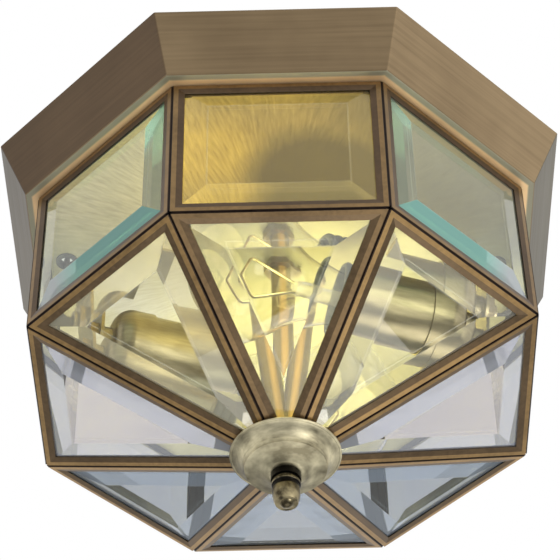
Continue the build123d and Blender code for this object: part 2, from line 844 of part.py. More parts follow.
# Filament mount: flare and stem, two support wires and the filament between their ends
flare_radius = bulb_neck_radius - bulb_wall - flare_fit
with BuildPart() as bulb_filament:
    with BuildSketch(lamp_section):
        with BuildLine():
            Polyline(
                (0, -bulb_neck_in),
                (flare_radius, -bulb_neck_in),
                (flare_radius, -bulb_neck_in + flare_thickness),
                (stem_radius, -bulb_neck_in + flare_thickness),
                (stem_radius, stem_reach),
                (0, stem_reach),
                close=True,
            )
        make_face()
    revolve(axis=lamp_line)
    with BuildLine(lamp_section) as filament_path:
        FilletPolyline(
            (-wire_root, stem_reach - wire_sink),
            (-filament_span, wire_reach),
            (0, wire_reach + filament_rise),
            (filament_span, wire_reach),
            (wire_root, stem_reach - wire_sink),
            radius=wire_bend,
        )
    with BuildSketch(Plane(origin=filament_path.line @ 0, z_dir=filament_path.line % 0)):
        Circle(wire_radius)
    sweep(path=filament_path.line)
both_sides(bulb_filament.part, "bulb_filament")

# Bushings in the pan where the leads pass
with BuildPart() as wire_bushing:
    with BuildSketch(Plane(origin=(bushing_spot.X, bushing_spot.Y, pan_underside))):
        Circle(bushing_radius + bushing_flange)
        Circle(bushing_bore_radius, mode=Mode.SUBTRACT)
    extrude(amount=-bushing_flange_height)
    with BuildSketch(Plane(origin=(bushing_spot.X, bushing_spot.Y, pan_underside))):
        Circle(bushing_radius)
        Circle(bushing_bore_radius, mode=Mode.SUBTRACT)
    extrude(amount=pan_sheet + bushing_stand)
pair(wire_bushing.part, "wire_bushings")

# Terminal block on the pan, with a way through for each pole and wells for its clamping screws
with BuildPart() as terminal_block:
    with BuildSketch(Plane.XY.offset(pan_floor)):
        with Locations((0, block_back)):
            Rectangle(block_length, block_width)
    extrude(amount=block_height)
    block_end = Plane(origin=(-block_length / 2, block_back, lead_height), x_dir=(0, 1, 0), z_dir=(1, 0, 0))
    with BuildSketch(block_end):
        with Locations((-block_pitch / 2, 0), (block_pitch / 2, 0)):
            Circle(lead_radius + block_hole_fit)
    extrude(amount=block_length, mode=Mode.SUBTRACT)
    with BuildSketch(Plane.XY.offset(pan_floor + block_height)):
        with Locations((0, block_back)):
            with GridLocations(block_length - 2 * block_well_inset, block_pitch, 2, 2):
                Circle(block_well_radius)
    extrude(amount=-block_well_depth, mode=Mode.SUBTRACT)
terminal_block.part.label = "terminal_block"
export_step(terminal_block.part, "parts/terminal_block.step")

# Leads: out of each nipple, up through the bushing and across the pan to the terminal block
with BuildPart() as socket_leads:
    for sign in (1, -1):
        for pole in (-1, 1):
            spots = [
                lamp_point(dome_end, pole * lead_gap),
                lamp_point(lead_turn_depth, pole * lead_gap),
                lamp_point(lead_turn_depth, pole * lead_gap, lead_height),
            ]
            route = [Vector(sign * spot.X, sign * spot.Y, spot.Z) for spot in spots]
            pole_back = block_back + sign * pole * block_pitch / 2
            block_side = -sign * block_length / 2
            route.append(Vector(block_side - sign * lead_approach, pole_back, lead_height))
            route.append(Vector(block_side + sign * lead_into_block, pole_back, lead_height))
            with BuildLine() as lead_path:
                FilletPolyline(*route, radius=[lead_bend, lead_bend, lead_entry_bend])
            with BuildSketch(Plane(origin=lead_path.line @ 0, z_dir=lead_path.line % 0)):
                Circle(lead_radius)
            sweep(path=lead_path.line)
socket_leads.part.label = "socket_leads"
export_step(socket_leads.part, "parts/socket_leads.step")
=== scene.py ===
import math
import bpy
from mathutils import Matrix, Vector


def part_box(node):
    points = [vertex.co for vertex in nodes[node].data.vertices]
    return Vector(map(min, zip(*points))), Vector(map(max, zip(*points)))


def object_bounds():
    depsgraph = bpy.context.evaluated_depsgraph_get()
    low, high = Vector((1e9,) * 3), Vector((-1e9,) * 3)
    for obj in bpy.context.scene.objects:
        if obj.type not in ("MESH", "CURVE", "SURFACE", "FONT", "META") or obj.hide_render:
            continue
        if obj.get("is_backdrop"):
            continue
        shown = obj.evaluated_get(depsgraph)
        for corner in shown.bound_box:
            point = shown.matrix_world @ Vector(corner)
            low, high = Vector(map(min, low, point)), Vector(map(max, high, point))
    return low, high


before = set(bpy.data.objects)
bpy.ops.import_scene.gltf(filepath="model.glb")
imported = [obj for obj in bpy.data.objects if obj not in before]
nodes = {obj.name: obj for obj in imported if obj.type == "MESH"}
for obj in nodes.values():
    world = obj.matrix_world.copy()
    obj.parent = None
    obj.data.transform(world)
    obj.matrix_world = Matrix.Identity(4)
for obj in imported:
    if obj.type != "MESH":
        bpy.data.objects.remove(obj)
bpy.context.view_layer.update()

scene = bpy.context.scene
scene.view_settings.view_transform = "Standard"

SIDES = ("left", "right")
UP = Vector((0, 0, 1))

# Faces of the octagon, counted from 1 on the near side
FACES = range(1, 9)
FACE_DEGREES = 45
NEAR_DEGREES = -90

# Sizes of the light that the finishes follow, in metres
LANTERN_APOTHEM = 0.1108
LANTERN_TOP = -0.0285
RIM_HEIGHT = -0.1105
PYRAMID_DROP = 0.0441
PLATE_APOTHEM = 0.1085
FIELD_INSET = 0.0158
SLOPE = math.atan2(PYRAMID_DROP, LANTERN_APOTHEM)
SLOPE_LENGTH = math.hypot(PYRAMID_DROP, LANTERN_APOTHEM)
HALF_EDGE = LANTERN_APOTHEM * math.tan(math.radians(FACE_DEGREES / 2))
TIP_HALF_ANGLE = math.atan2(HALF_EDGE, SLOPE_LENGTH)

# Depths of bumps in the finishes, in metres
BRUSH_DEPTH = 0.0002
WAVE_DEPTH = 0.0005


class NodeTree:
    """A node tree that is built step by step."""

    def __init__(self, tree):
        self.tree = tree
        self.tree.nodes.clear()

    def feed(self, socket, value):
        """Links another node's output to a socket, or sets its value."""
        if isinstance(value, bpy.types.NodeSocket):
            self.tree.links.new(value, socket)
        else:
            socket.default_value = value

    def add(self, kind, settings=None, **inputs):
        """New node, with its settings and named inputs."""
        node = self.tree.nodes.new(kind)
        for key, value in (settings or {}).items():
            setattr(node, key, value)
        for key, value in inputs.items():
            self.feed(node.inputs[key.replace("_", " ")], value)
        return node

    def math(self, operation, *values):
        """Output of a Math node."""
        node = self.add("ShaderNodeMath", {"operation": operation})
        for socket, value in zip(node.inputs, values):
            self.feed(socket, value)
        return node.outputs[0]

    def mix_surface(self, factor, first, second):
        """Output of a mix of two shaders."""
        node = self.add("ShaderNodeMixShader", Fac=factor)
        self.feed(node.inputs[1], first)
        self.feed(node.inputs[2], second)
        return node.outputs[0]


class Shader(NodeTree):
    """A material's node tree."""

    def __init__(self, name):
        self.material = bpy.data.materials.new(name)
        self.material.use_nodes = True
        super().__init__(self.material.node_tree)
        self.output = self.add("ShaderNodeOutputMaterial")

    def finish(self, surface):
        """The material, with this surface on its output."""
        self.tree.links.new(surface, self.output.inputs[0])
        return self.material

    def principled(self, **inputs):
        """Output of a principled surface."""
        return self.add("ShaderNodeBsdfPrincipled", **inputs).outputs[0]

    def spot(self):
        """Place on the object."""
        return self.add("ShaderNodeTexCoord").outputs["Object"]

    def stretched(self, scale):
        """Place on the object, scaled along each axis."""
        return self.add("ShaderNodeMapping", Vector=self.spot(), Scale=scale).outputs[0]

    def normal(self):
        """Flat normal of the face."""
        return self.add("ShaderNodeNewGeometry").outputs["True Normal"]

    def split(self, vector):
        """The three parts of a vector."""
        return self.add("ShaderNodeSeparateXYZ", Vector=vector).outputs

    def join(self, x, y, z):
        """Vector of three parts."""
        return self.add("ShaderNodeCombineXYZ", X=x, Y=y, Z=z).outputs[0]

    def vector_math(self, operation, *vectors):
        """Value that a VectorMath node gives."""
        node = self.add("ShaderNodeVectorMath", {"operation": operation})
        for socket, vector in zip(node.inputs, vectors):
            self.feed(socket, vector)
        return node.outputs["Value"]

    def dot(self, vector, direction):
        """Part of a vector along a direction."""
        return self.vector_math("DOT_PRODUCT", vector, direction)

    def highest(self, first, second, *others):
        """Largest of two or more values."""
        value = self.math("MAXIMUM", first, second)
        return self.highest(value, *others) if others else value

    def vary(self, base, value, amount):
        """A base and some of a value that varies."""
        return self.math("ADD", base, self.math("MULTIPLY", value, amount))

    def blend(self, first, second, share):
        """This share of one value and the rest of another."""
        return self.math(
            "ADD", self.math("MULTIPLY", first, share), self.math("MULTIPLY", second, 1.0 - share)
        )

    def mix_value(self, factor, first, second):
        """Output of a mix of two values."""
        node = self.add("ShaderNodeMix", {"data_type": "FLOAT"})
        for number, value in ((0, factor), (2, first), (3, second)):
            self.feed(node.inputs[number], value)
        return node.outputs[0]

    def mix(self, factor, first, second, blend="MIX"):
        """Output of a colour mix."""
        node = self.add("ShaderNodeMix", {"data_type": "RGBA", "blend_type": blend})
        for number, value in ((0, factor), (6, first), (7, second)):
            self.feed(node.inputs[number], value)
        return node.outputs[2]

    def ramp(self, value, stops):
        """Colour of a ramp through (place, colour) stops."""
        node = self.add("ShaderNodeValToRGB", Fac=value)
        elements = node.color_ramp.elements
        elements[0].position, elements[0].color = stops[0]
        elements[1].position, elements[1].color = stops[-1]
        for place, colour in stops[1:-1]:
            elements.new(place).color = colour
        return node.outputs[0]

    def span(self, value, start, end, low=0.0, high=1.0):
        """Value carried from one span to another, held at the ends."""
        node = self.add("ShaderNodeMapRange", Value=value, From_Min=start, From_Max=end)
        self.feed(node.inputs["To Min"], low)
        self.feed(node.inputs["To Max"], high)
        return node.outputs[0]

    def patch(self, x, y, place, inner, outer):
        """1 within `inner` of a place seen from below, fading to 0 at `outer`."""
        away = self.vector_math("DISTANCE", self.join(x, y, 0.0), place)
        return self.span(away, inner, outer, low=1.0, high=0.0)

    def noise(self, vector, scale, detail=3.0, rough=0.55):
        """Value of a noise texture."""
        node = self.add("ShaderNodeTexNoise", Vector=vector, Scale=scale, Detail=detail)
        self.feed(node.inputs["Roughness"], rough)
        return node.outputs[0]

    def brush(self, vector):
        """Fine lines, as long as the vector is stretched."""
        return self.noise(vector, scale=1.0, detail=2.0, rough=0.6)

    def clouds(self, vector, scale):
        """Cloudy patches."""
        return self.noise(vector, scale, detail=4.0, rough=0.6)

    def bump(self, height, strength, distance):
        """Normal of a bump."""
        node = self.add("ShaderNodeBump", Height=height, Strength=strength, Distance=distance)
        return node.outputs[0]

    def glass_wave(self):
        """Normal of the faint wave in clear glass."""
        wave = self.noise(self.spot(), scale=28.0, detail=1.0, rough=0.4)
        return self.bump(wave, strength=0.05, distance=WAVE_DEPTH)


def grey(value):
    """Opaque grey."""
    return (value, value, value, 1)


def outward(face):
    """Level direction out of one face of the octagon."""
    turn = math.radians(FACE_DEGREES * (face - 1) + NEAR_DEGREES)
    return Vector((math.cos(turn), math.sin(turn), 0))


def brushed(name, dark, light, rough, streak, mottle, metallic=1.0):
    """Satin surface with fine brush lines scaled by `streak` and patches scaled by `mottle`."""
    shader = Shader(name)
    lines = shader.brush(shader.stretched(streak))
    tone = shader.blend(lines, shader.clouds(shader.spot(), mottle), share=0.45)
    return shader.finish(shader.principled(
        Base_Color=shader.ramp(tone, [(0.34, dark), (0.66, light)]),
        Metallic=metallic,
        Roughness=shader.vary(rough, lines, amount=0.18),
        Normal=shader.bump(lines, strength=0.15, distance=BRUSH_DEPTH),
    ))


# Walls of the pan: their brass, the painted shade that makes it darker or lighter by face, the
# normal's part along a face's direction that counts as that face, and the scales of the brush lines
# along and across them
WALL_DARK = (0.175, 0.118, 0.058, 1)
WALL_LIGHT = (0.300, 0.212, 0.112, 1)
PAINTED_WALL_SHADE = {
    8: (0.50, 0.44, 0.41, 1),
    2: (1.25, 1.25, 1.25, 1),
    7: (0.42, 0.46, 0.48, 1),
    3: (0.38, 0.44, 0.44, 1),
}
WALL_FACING = (0.70, 0.88)
WALL_ALONG = 14.0
WALL_ACROSS = 1600.0

# Lip of the pan, tan inside a duller edge, and the apothems between which that starts
LIP_DARK = (0.72, 0.49, 0.27, 1)
LIP_LIGHT = (0.98, 0.68, 0.36, 1)
LIP_EDGE = (0.34, 0.32, 0.225, 1)
LIP_EDGE_SPAN = (0.1132, 0.1140)

# Height of a normal below which a face of the pan looks down
DOWNWARD = -0.9

# Underside of the pan: the ramps of its near and far parts, the near one darker as painted shade,
# where one turns into the other, a painted shade that covers all but its left end, and the scales of
# the brush lines round and out from the middle
NEAR_PLATE = [(0.3, (0.52, 0.44, 0.215, 1)), (0.7, (0.86, 0.75, 0.42, 1))]
FAR_PLATE = [(0.3, (0.82, 0.78, 0.44, 1)), (0.7, (0.97, 0.94, 0.58, 1))]
PLATE_FAR_SPAN = (-0.035, 0.0)
PLATE_PAINTED_SHADE = (0.57, 0.57, 0.54, 1)
PLATE_PAINTED_SHADE_SPAN = (-0.050, -0.030)
PLATE_ROUND = 60.0
PLATE_OUT = 90.0

# Patches of painted light and painted shade on the underside: place, inner and outer radius, and
# shade
PAINTED_LIGHT_PATCHES = (
    ((-0.028, -0.070, 0), 0.010, 0.026, (1.45, 1.40, 1.05, 1)),
    ((-0.021, -0.017, 0), 0.012, 0.030, (0.66, 0.69, 0.90, 1)),
    ((-0.064, 0.012, 0), 0.018, 0.040, (1.02, 1.04, 1.50, 1)),
    ((0.066, 0.002, 0), 0.015, 0.035, (1.45, 1.45, 1.55, 1)),
)

# Painted shade on the underside: a dark disc, by its place and inner and outer radius, and the near
# right side
SHADE_COLOUR = (0.10, 0.093, 0.060, 1)
SHADE_DISC = ((0.016, -0.050, 0), 0.024, 0.038)
SHADE_DISC_SHARE = 0.85
SHADE_RIGHT_SPAN = (0.010, 0.040)
SHADE_NEAR_SPAN = (0.005, -0.020)
SHADE_SIDE_SHARE = 0.6


def plate_colour(shader, x, y, lines):
    """Colour of the pan's underside, with its patches of painted light and painted shade."""
    near = shader.ramp(lines, NEAR_PLATE)
    far = shader.ramp(lines, FAR_PLATE)
    # Painted shade: the near part darker than the far part, and all but the left end darker still
    plate = shader.mix(shader.span(y, *PLATE_FAR_SPAN), near, far)
    plate = shader.mix(shader.span(x, *PLATE_PAINTED_SHADE_SPAN), plate, PLATE_PAINTED_SHADE, "MULTIPLY")
    # Patches of painted light and painted shade
    for place, inner, outer, shade in PAINTED_LIGHT_PATCHES:
        plate = shader.mix(shader.patch(x, y, place, inner, outer), plate, shade, "MULTIPLY")
    # Painted shade: a dark disc and the near right side
    disc = shader.math("MULTIPLY", shader.patch(x, y, *SHADE_DISC), SHADE_DISC_SHARE)
    right = shader.span(x, *SHADE_RIGHT_SPAN, high=SHADE_SIDE_SHARE)
    near_right = shader.math("MULTIPLY", right, shader.span(y, *SHADE_NEAR_SPAN))
    return shader.mix(shader.highest(disc, near_right), plate, SHADE_COLOUR)


def pan_finish():
    """Antique brass: walls brushed level with painted shade by face, a lip, and a paler underside
    with radial brush lines, painted light and painted shade.
    """
    shader = Shader("pan_brass")
    spot = shader.spot()
    normal = shader.normal()
    x, y, z = shader.split(spot)
    apothem = shader.highest(
        *(shader.math("ABSOLUTE", shader.dot(spot, outward(face))) for face in (1, 2, 3, 4))
    )
    cloud = shader.clouds(spot, scale=11.0)

    wall_lines = shader.brush(shader.join(
        shader.math("MULTIPLY", x, WALL_ALONG),
        shader.math("MULTIPLY", y, WALL_ALONG),
        shader.math("MULTIPLY", shader.math("SUBTRACT", z, apothem), WALL_ACROSS),
    ))
    tone = shader.blend(wall_lines, cloud, share=0.3)
    wall = shader.ramp(tone, [(0.34, WALL_DARK), (0.66, WALL_LIGHT)])
    # Painted shade: each face of the wall made darker or lighter by which way it looks
    for face, shade in PAINTED_WALL_SHADE.items():
        on_face = shader.span(shader.dot(normal, outward(face)), *WALL_FACING)
        wall = shader.mix(on_face, wall, shade, "MULTIPLY")

    lip = shader.ramp(cloud, [(0.35, LIP_DARK), (0.62, LIP_LIGHT)])
    lip = shader.mix(shader.span(apothem, *LIP_EDGE_SPAN), lip, LIP_EDGE)
    facing_down = shader.math("LESS_THAN", shader.split(normal)[2], DOWNWARD)
    wall = shader.mix(facing_down, wall, lip)

    radius = shader.vector_math("LENGTH", shader.join(x, y, 0.0))
    turn = shader.math("MULTIPLY", shader.math("ARCTAN2", y, x), PLATE_ROUND)
    out = shader.math("MULTIPLY", radius, PLATE_OUT)
    plate_lines = shader.noise(shader.join(turn, out, 0.0), scale=1.0, detail=3.0, rough=0.6)
    plate = plate_colour(shader, x, y, plate_lines)

    inside = shader.math("LESS_THAN", apothem, PLATE_APOTHEM)
    on_plate = shader.math("MULTIPLY", inside, facing_down)
    lines = shader.mix_value(on_plate, wall_lines, plate_lines)
    return shader.finish(shader.principled(
        Base_Color=shader.mix(on_plate, wall, plate),
        Metallic=0.5,
        Roughness=shader.vary(0.30, lines, amount=0.2),
        Normal=shader.bump(lines, strength=0.12, distance=BRUSH_DEPTH),
    ))


# Cames: dark inside and brown on the flanks as painted shade, and the span of facing over which they
# turn metallic
CAME_INSIDE = (0.022, 0.021, 0.023, 1)
CAME_GROOVE = (0.030, 0.020, 0.014, 1)
CAME_FLANK = (0.080, 0.050, 0.028, 1)
CAME_TURN = (0.3, 0.6)


def came_finish(name, out, outer, slope):
    """Antique brass, `outer` on the faces that look `out` and `slope` beside the glass, darker
    inward as painted shade.
    """
    shader = Shader(name)
    # From 0 on faces that look straight in to 1 on those that look straight out
    facing = shader.math("MULTIPLY_ADD", shader.dot(shader.normal(), out), 0.5, 0.5)
    # Painted shade: darker on faces that look in and on the slopes beside the glass
    face = shader.ramp(facing, [
        (0.30, CAME_INSIDE),
        (0.45, CAME_GROOVE),
        (0.90, CAME_FLANK),
        (0.97, slope),
        (0.9925, slope),
        (0.998, outer),
    ])
    grain = shader.brush(shader.stretched(scale=(500, 500, 500)))
    tone = shader.blend(grain, shader.clouds(shader.spot(), scale=34.0), share=0.4)
    worn = shader.ramp(tone, [(0.36, grey(0.62)), (0.62, grey(1.0))])
    return shader.finish(shader.principled(
        Base_Color=shader.mix(1.0, face, worn, "MULTIPLY"),
        Metallic=shader.span(facing, *CAME_TURN, low=0.0, high=0.7),
        Specular_IOR_Level=shader.span(facing, *CAME_TURN, low=0.05, high=0.5),
        Roughness=shader.vary(0.30, grain, amount=0.18),
        Normal=shader.bump(grain, strength=0.12, distance=BRUSH_DEPTH),
    ))


# Rod: plain brass, and a painted reflection of lamp light as an orange stripe on the side that looks
# this way
ROD_DARK = (0.24, 0.185, 0.060, 1)
ROD_LIGHT = (0.33, 0.26, 0.095, 1)
ROD_REFLECTION = (0.64, 0.43, 0.12, 1)
ROD_REFLECTION_SIDE = (0.17, -0.985, 0)


def rod_finish():
    """Plain brass with a painted reflection of lamp light as an orange stripe down its near side."""
    shader = Shader("rod_brass")
    lines = shader.brush(shader.stretched(scale=(60, 60, 1500)))
    plain = shader.ramp(lines, [(0.3, ROD_DARK), (0.7, ROD_LIGHT)])
    # Painted reflection: an orange stripe where the rod looks this way
    reflection = shader.span(shader.dot(shader.normal(), ROD_REFLECTION_SIDE), start=0.90, end=0.97)
    return shader.finish(shader.principled(
        Base_Color=shader.mix(reflection, plain, ROD_REFLECTION),
        Metallic=0.6,
        Roughness=shader.vary(0.25, lines, amount=0.15),
    ))


# Dish: cloudy brass, and a painted shade on the side that looks this way
DISH_DARK = (0.20, 0.175, 0.11, 1)
DISH_LIGHT = (0.70, 0.63, 0.42, 1)
DISH_PAINTED_SHADE = (0.30, 0.29, 0.28, 1)
DISH_PAINTED_SHADE_SIDE = (-0.45, 0.80, -0.40)


def dish_finish():
    """Spun antique brass with cloudy patches, and painted shade on its far left side."""
    shader = Shader("dish_brass")
    lines = shader.brush(shader.stretched(scale=(120, 120, 700)))
    tone = shader.blend(lines, shader.clouds(shader.spot(), scale=60.0), share=0.35)
    brass = shader.ramp(tone, [(0.36, DISH_DARK), (0.64, DISH_LIGHT)])
    # Painted shade: darker on the far left side
    far_left = shader.span(shader.dot(shader.normal(), DISH_PAINTED_SHADE_SIDE), start=0.35, end=0.85)
    return shader.finish(shader.principled(
        Base_Color=shader.mix(far_left, brass, DISH_PAINTED_SHADE, "MULTIPLY"),
        Metallic=1.0,
        Roughness=shader.vary(0.34, lines, amount=0.18),
        Normal=shader.bump(lines, strength=0.15, distance=BRUSH_DEPTH),
    ))


# Knob: its brass, and the black parts, measured down from its top in metres
KNOB_DARK = (0.06, 0.048, 0.026, 1)
KNOB_LIGHT = (0.36, 0.30, 0.17, 1)
KNOB_BLACK = (0.012, 0.010, 0.008, 1)
COLLAR_END = (0.0034, 0.0040)
GROOVE_MIDDLE = 0.0070
GROOVE_EDGE = (0.0010, 0.0014)


def knob_finish():
    """Turned antique brass, black on the collar and in the lower groove."""
    shader = Shader("knob_brass")
    spot = shader.spot()
    cloud = shader.noise(spot, scale=160.0, detail=3.0, rough=0.6)
    brass = shader.ramp(cloud, [(0.38, KNOB_DARK), (0.62, KNOB_LIGHT)])
    down = shader.math("SUBTRACT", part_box("finial_knob")[1].z, shader.split(spot)[2])
    collar = shader.span(down, *COLLAR_END, low=1.0, high=0.0)
    from_groove = shader.math("ABSOLUTE", shader.math("SUBTRACT", down, GROOVE_MIDDLE))
    groove = shader.span(from_groove, *GROOVE_EDGE, low=1.0, high=0.0)
    return shader.finish(shader.principled(
        Base_Color=shader.mix(shader.highest(collar, groove), brass, KNOB_BLACK),
        Metallic=0.9,
        Roughness=shader.vary(0.18, cloud, amount=0.25),
    ))


# How much glass bends light: plain panes, far sloping panes and bulbs
PANE_IOR = 1.5
FAR_PANE_IOR = 1.15
BULB_IOR = 1.35


def bulb_finish():
    """Thin clear glass with a faint wave in it."""
    shader = Shader("bulb_glass")
    return shader.finish(shader.principled(
        Base_Color=(1.0, 1.0, 0.99, 1),
        Roughness=0.0,
        IOR=BULB_IOR,
        Transmission_Weight=1.0,
        Normal=shader.glass_wave(),
    ))


def side_field(along):
    """Measures the distance outside an upright pane's flat field, which its bevels surround."""
    def outside(shader):
        spot = shader.spot()
        height = shader.split(spot)[2]
        aside = shader.math("ABSOLUTE", shader.dot(spot, along))
        ends = shader.math("SUBTRACT", aside, HALF_EDGE - FIELD_INSET)
        foot = shader.math("SUBTRACT", RIM_HEIGHT + FIELD_INSET, height)
        head = shader.math("SUBTRACT", height, LANTERN_TOP - FIELD_INSET)
        return shader.highest(foot, head, ends)
    return outside


def bottom_field(level, along):
    """Measures the distance outside a sloping pane's flat field, which its bevels surround."""
    def outside(shader):
        spot = shader.spot()
        reach = shader.math("DIVIDE", shader.dot(spot, level), math.cos(SLOPE))
        aside = shader.math("ABSOLUTE", shader.dot(spot, along))
        from_rib = shader.math(
            "SUBTRACT",
            shader.math("MULTIPLY", reach, math.sin(TIP_HALF_ANGLE)),
            shader.math("MULTIPLY", aside, math.cos(TIP_HALF_ANGLE)),
        )
        ribs = shader.math("SUBTRACT", FIELD_INSET, from_rib)
        rim = shader.math("SUBTRACT", reach, SLOPE_LENGTH - FIELD_INSET)
        return shader.highest(ribs, rim)
    return outside


# Panes: the part of the normal along the pane's direction, on outer faces and where a bevel begins
OUTER_FACING = 0.5
BEVEL_FACING = (0.995, 0.98)

# Bevels: the turn downwards with which they take all of the edge colour, the share that others take,
# and how solid it is
BEVEL_DOWN = (-0.05, -0.18)
UPPER_BEVEL_SHARE = 0.25
EDGE_SOLID = 0.72

# Pale painted highlight round the flat field of a pane: its colour, its half width in metres and its
# strength
FIELD_HIGHLIGHT = (0.88, 0.88, 0.80, 1)
FIELD_HIGHLIGHT_SPAN = (0.00012, 0.0004)
FIELD_HIGHLIGHT_SHARE = 0.2


def bevelled_glass(name, out, field, tint, edge, depth, bend=PANE_IOR):
    """Pane whose bevels, tilted away from `out`, take `depth` of the colour `edge`.

    `field` measures the distance outside its flat field.
    """
    shader = Shader(name)
    normal = shader.normal()
    facing = shader.dot(normal, out)
    bevel = shader.span(shader.math("ABSOLUTE", facing), *BEVEL_FACING)
    lower = shader.span(shader.split(normal)[2], *BEVEL_DOWN, low=UPPER_BEVEL_SHARE)
    edging = shader.math("MULTIPLY", shader.math("MULTIPLY", bevel, lower), depth)
    outer = shader.math("GREATER_THAN", facing, OUTER_FACING)
    from_field = shader.math("ABSOLUTE", field(shader))
    # Painted highlight: a pale line round the flat field, on outer faces
    line = shader.span(from_field, *FIELD_HIGHLIGHT_SPAN, low=FIELD_HIGHLIGHT_SHARE, high=0.0)
    line = shader.math("MULTIPLY", line, outer)
    colour = shader.mix(edging, tint, edge(shader) if callable(edge) else edge)
    solid = shader.highest(shader.math("MULTIPLY", edging, EDGE_SOLID), line)
    return shader.finish(shader.principled(
        Base_Color=shader.mix(line, colour, FIELD_HIGHLIGHT),
        Roughness=0.0,
        IOR=bend,
        Transmission_Weight=shader.math("SUBTRACT", 1.0, solid),
        Normal=shader.glass_wave(),
    ))


# Aqua edges: their colours, and how far from the middle of the pane they change, in metres
AQUA = (0.27, 0.62, 0.52, 1)
PALE_LILAC = (0.50, 0.54, 0.57, 1)
LILAC_SPAN = (0.012, 0.028)


def aqua_to_lilac(along):
    """Edge colour that turns from aqua to pale lilac towards one end of the bevel."""
    def colour(shader):
        end = shader.span(shader.dot(shader.spot(), along), *LILAC_SPAN)
        return shader.mix(end, AQUA, PALE_LILAC)
    return colour


# Inside of a lamp: how far from the holder's mouth the stem and the wires end, in metres, and their
# colours
STEM_END = 0.0241
WIRE_END = 0.0432
STEM_GLASS = (0.93, 0.92, 0.85, 1)
WIRE_DARK = (0.20, 0.18, 0.11, 1)
WIRE_LIGHT = (0.34, 0.31, 0.20, 1)
COIL = (0.05, 0.045, 0.03, 1)
EMBER = (0.30, 0.20, 0.05, 1)
GLOW = (1.0, 0.74, 0.25, 1)
GLOW_STRENGTH = 0.3


def lamp_inside(side, mouth, axis):
    """Clear stem, brass-grey support wires and the lit filament across their ends."""
    shader = Shader(f"lamp_inside_{side}")
    spot = shader.spot()
    reach = shader.math("SUBTRACT", shader.dot(spot, axis), axis.dot(mouth))
    speckle = shader.noise(spot, scale=300.0)
    stem = shader.principled(Base_Color=STEM_GLASS, Roughness=0.1, Transmission_Weight=0.8)
    wire = shader.principled(
        Base_Color=shader.ramp(speckle, [(0.3, WIRE_DARK), (0.7, WIRE_LIGHT)]),
        Metallic=0.3,
        Roughness=0.3,
    )
    lit = shader.principled(
        Base_Color=COIL,
        Emission_Color=shader.ramp(speckle, [(0.3, EMBER), (0.7, GLOW)]),
        Emission_Strength=GLOW_STRENGTH,
    )
    past_stem = shader.math("GREATER_THAN", reach, STEM_END)
    past_wire = shader.math("GREATER_THAN", reach, WIRE_END)
    mount = shader.mix_surface(past_stem, stem, wire)
    return shader.finish(shader.mix_surface(past_wire, mount, lit))


def dress(material, *names):
    """Gives CAD nodes this material."""
    for name in names:
        slots = nodes[name].data.materials
        slots.clear()
        slots.append(material)


holder_brass = brushed(
    "holder_brass", (0.35, 0.30, 0.165, 1), (0.58, 0.51, 0.30, 1),
    rough=0.24, streak=(90, 90, 900), mottle=30.0,
)
nut_brass = brushed(
    "nut_brass", (0.30, 0.245, 0.14, 1), (0.48, 0.40, 0.24, 1),
    rough=0.3, streak=(60, 60, 1500), mottle=40.0,
)
plated_steel = brushed(
    "plated_steel", grey(0.20), grey(0.38), rough=0.4, streak=(40, 900, 900), mottle=30.0
)
cap_metal = brushed(
    "cap_metal", grey(0.55), grey(0.80), rough=0.2, streak=(200, 200, 200), mottle=60.0
)
solder = brushed(
    "dark_solder", (0.006, 0.004, 0.004, 1), (0.03, 0.02, 0.016, 1),
    rough=0.45, streak=(300, 300, 300), mottle=60.0,
)
phenolic = brushed(
    "phenolic", (0.065, 0.075, 0.075, 1), (0.135, 0.15, 0.148, 1),
    rough=0.4, streak=(200, 200, 200), mottle=50.0, metallic=0.0,
)
insulation = brushed(
    "insulation", grey(0.02), grey(0.045), rough=0.4, streak=(90, 90, 90), mottle=60.0, metallic=0.0
)
block_plastic = brushed(
    "block_plastic", (0.52, 0.50, 0.44, 1), (0.64, 0.62, 0.56, 1),
    rough=0.4, streak=(120, 120, 120), mottle=60.0, metallic=0.0,
)
bulb_glass = bulb_finish()

dress(pan_finish(), "ceiling_pan")
dress(dish_finish(), "finial_dish")
dress(knob_finish(), "finial_knob")
dress(holder_brass, "lamp_brackets", "hub_plate")
dress(rod_finish(), "stem_rod")
dress(nut_brass, "lock_nuts")
dress(plated_steel, "mounting_strap", "bracket_screws")
dress(solder, "solder_seams")
dress(cap_metal, "screw_shells")
dress(phenolic, "socket_cores", "socket_skirts", "wire_bushings")
dress(insulation, "socket_leads")
dress(block_plastic, "terminal_block")

# Lamps: the left one's direction and its holder's mouth; the right one is turned half round the rod
LAMP_TURN = math.radians(20)
LAMP_AXIS = Vector((math.cos(LAMP_TURN), math.sin(LAMP_TURN), 0))
LAMP_MOUTH = Vector((-0.027927, 0.021761, -0.073))
for side, sign in zip(SIDES, (1, -1)):
    mouth = Vector((LAMP_MOUTH.x * sign, LAMP_MOUTH.y * sign, LAMP_MOUTH.z))
    dress(holder_brass, f"socket_cap_{side}", f"socket_shell_{side}")
    dress(cap_metal, f"bulb_cap_{side}")
    dress(phenolic, f"bulb_contact_{side}")
    dress(bulb_glass, f"bulb_glass_{side}")
    dress(lamp_inside(side, mouth, LAMP_AXIS * sign), f"bulb_filament_{side}")
    nodes[f"bulb_glass_{side}"].visible_shadow = False

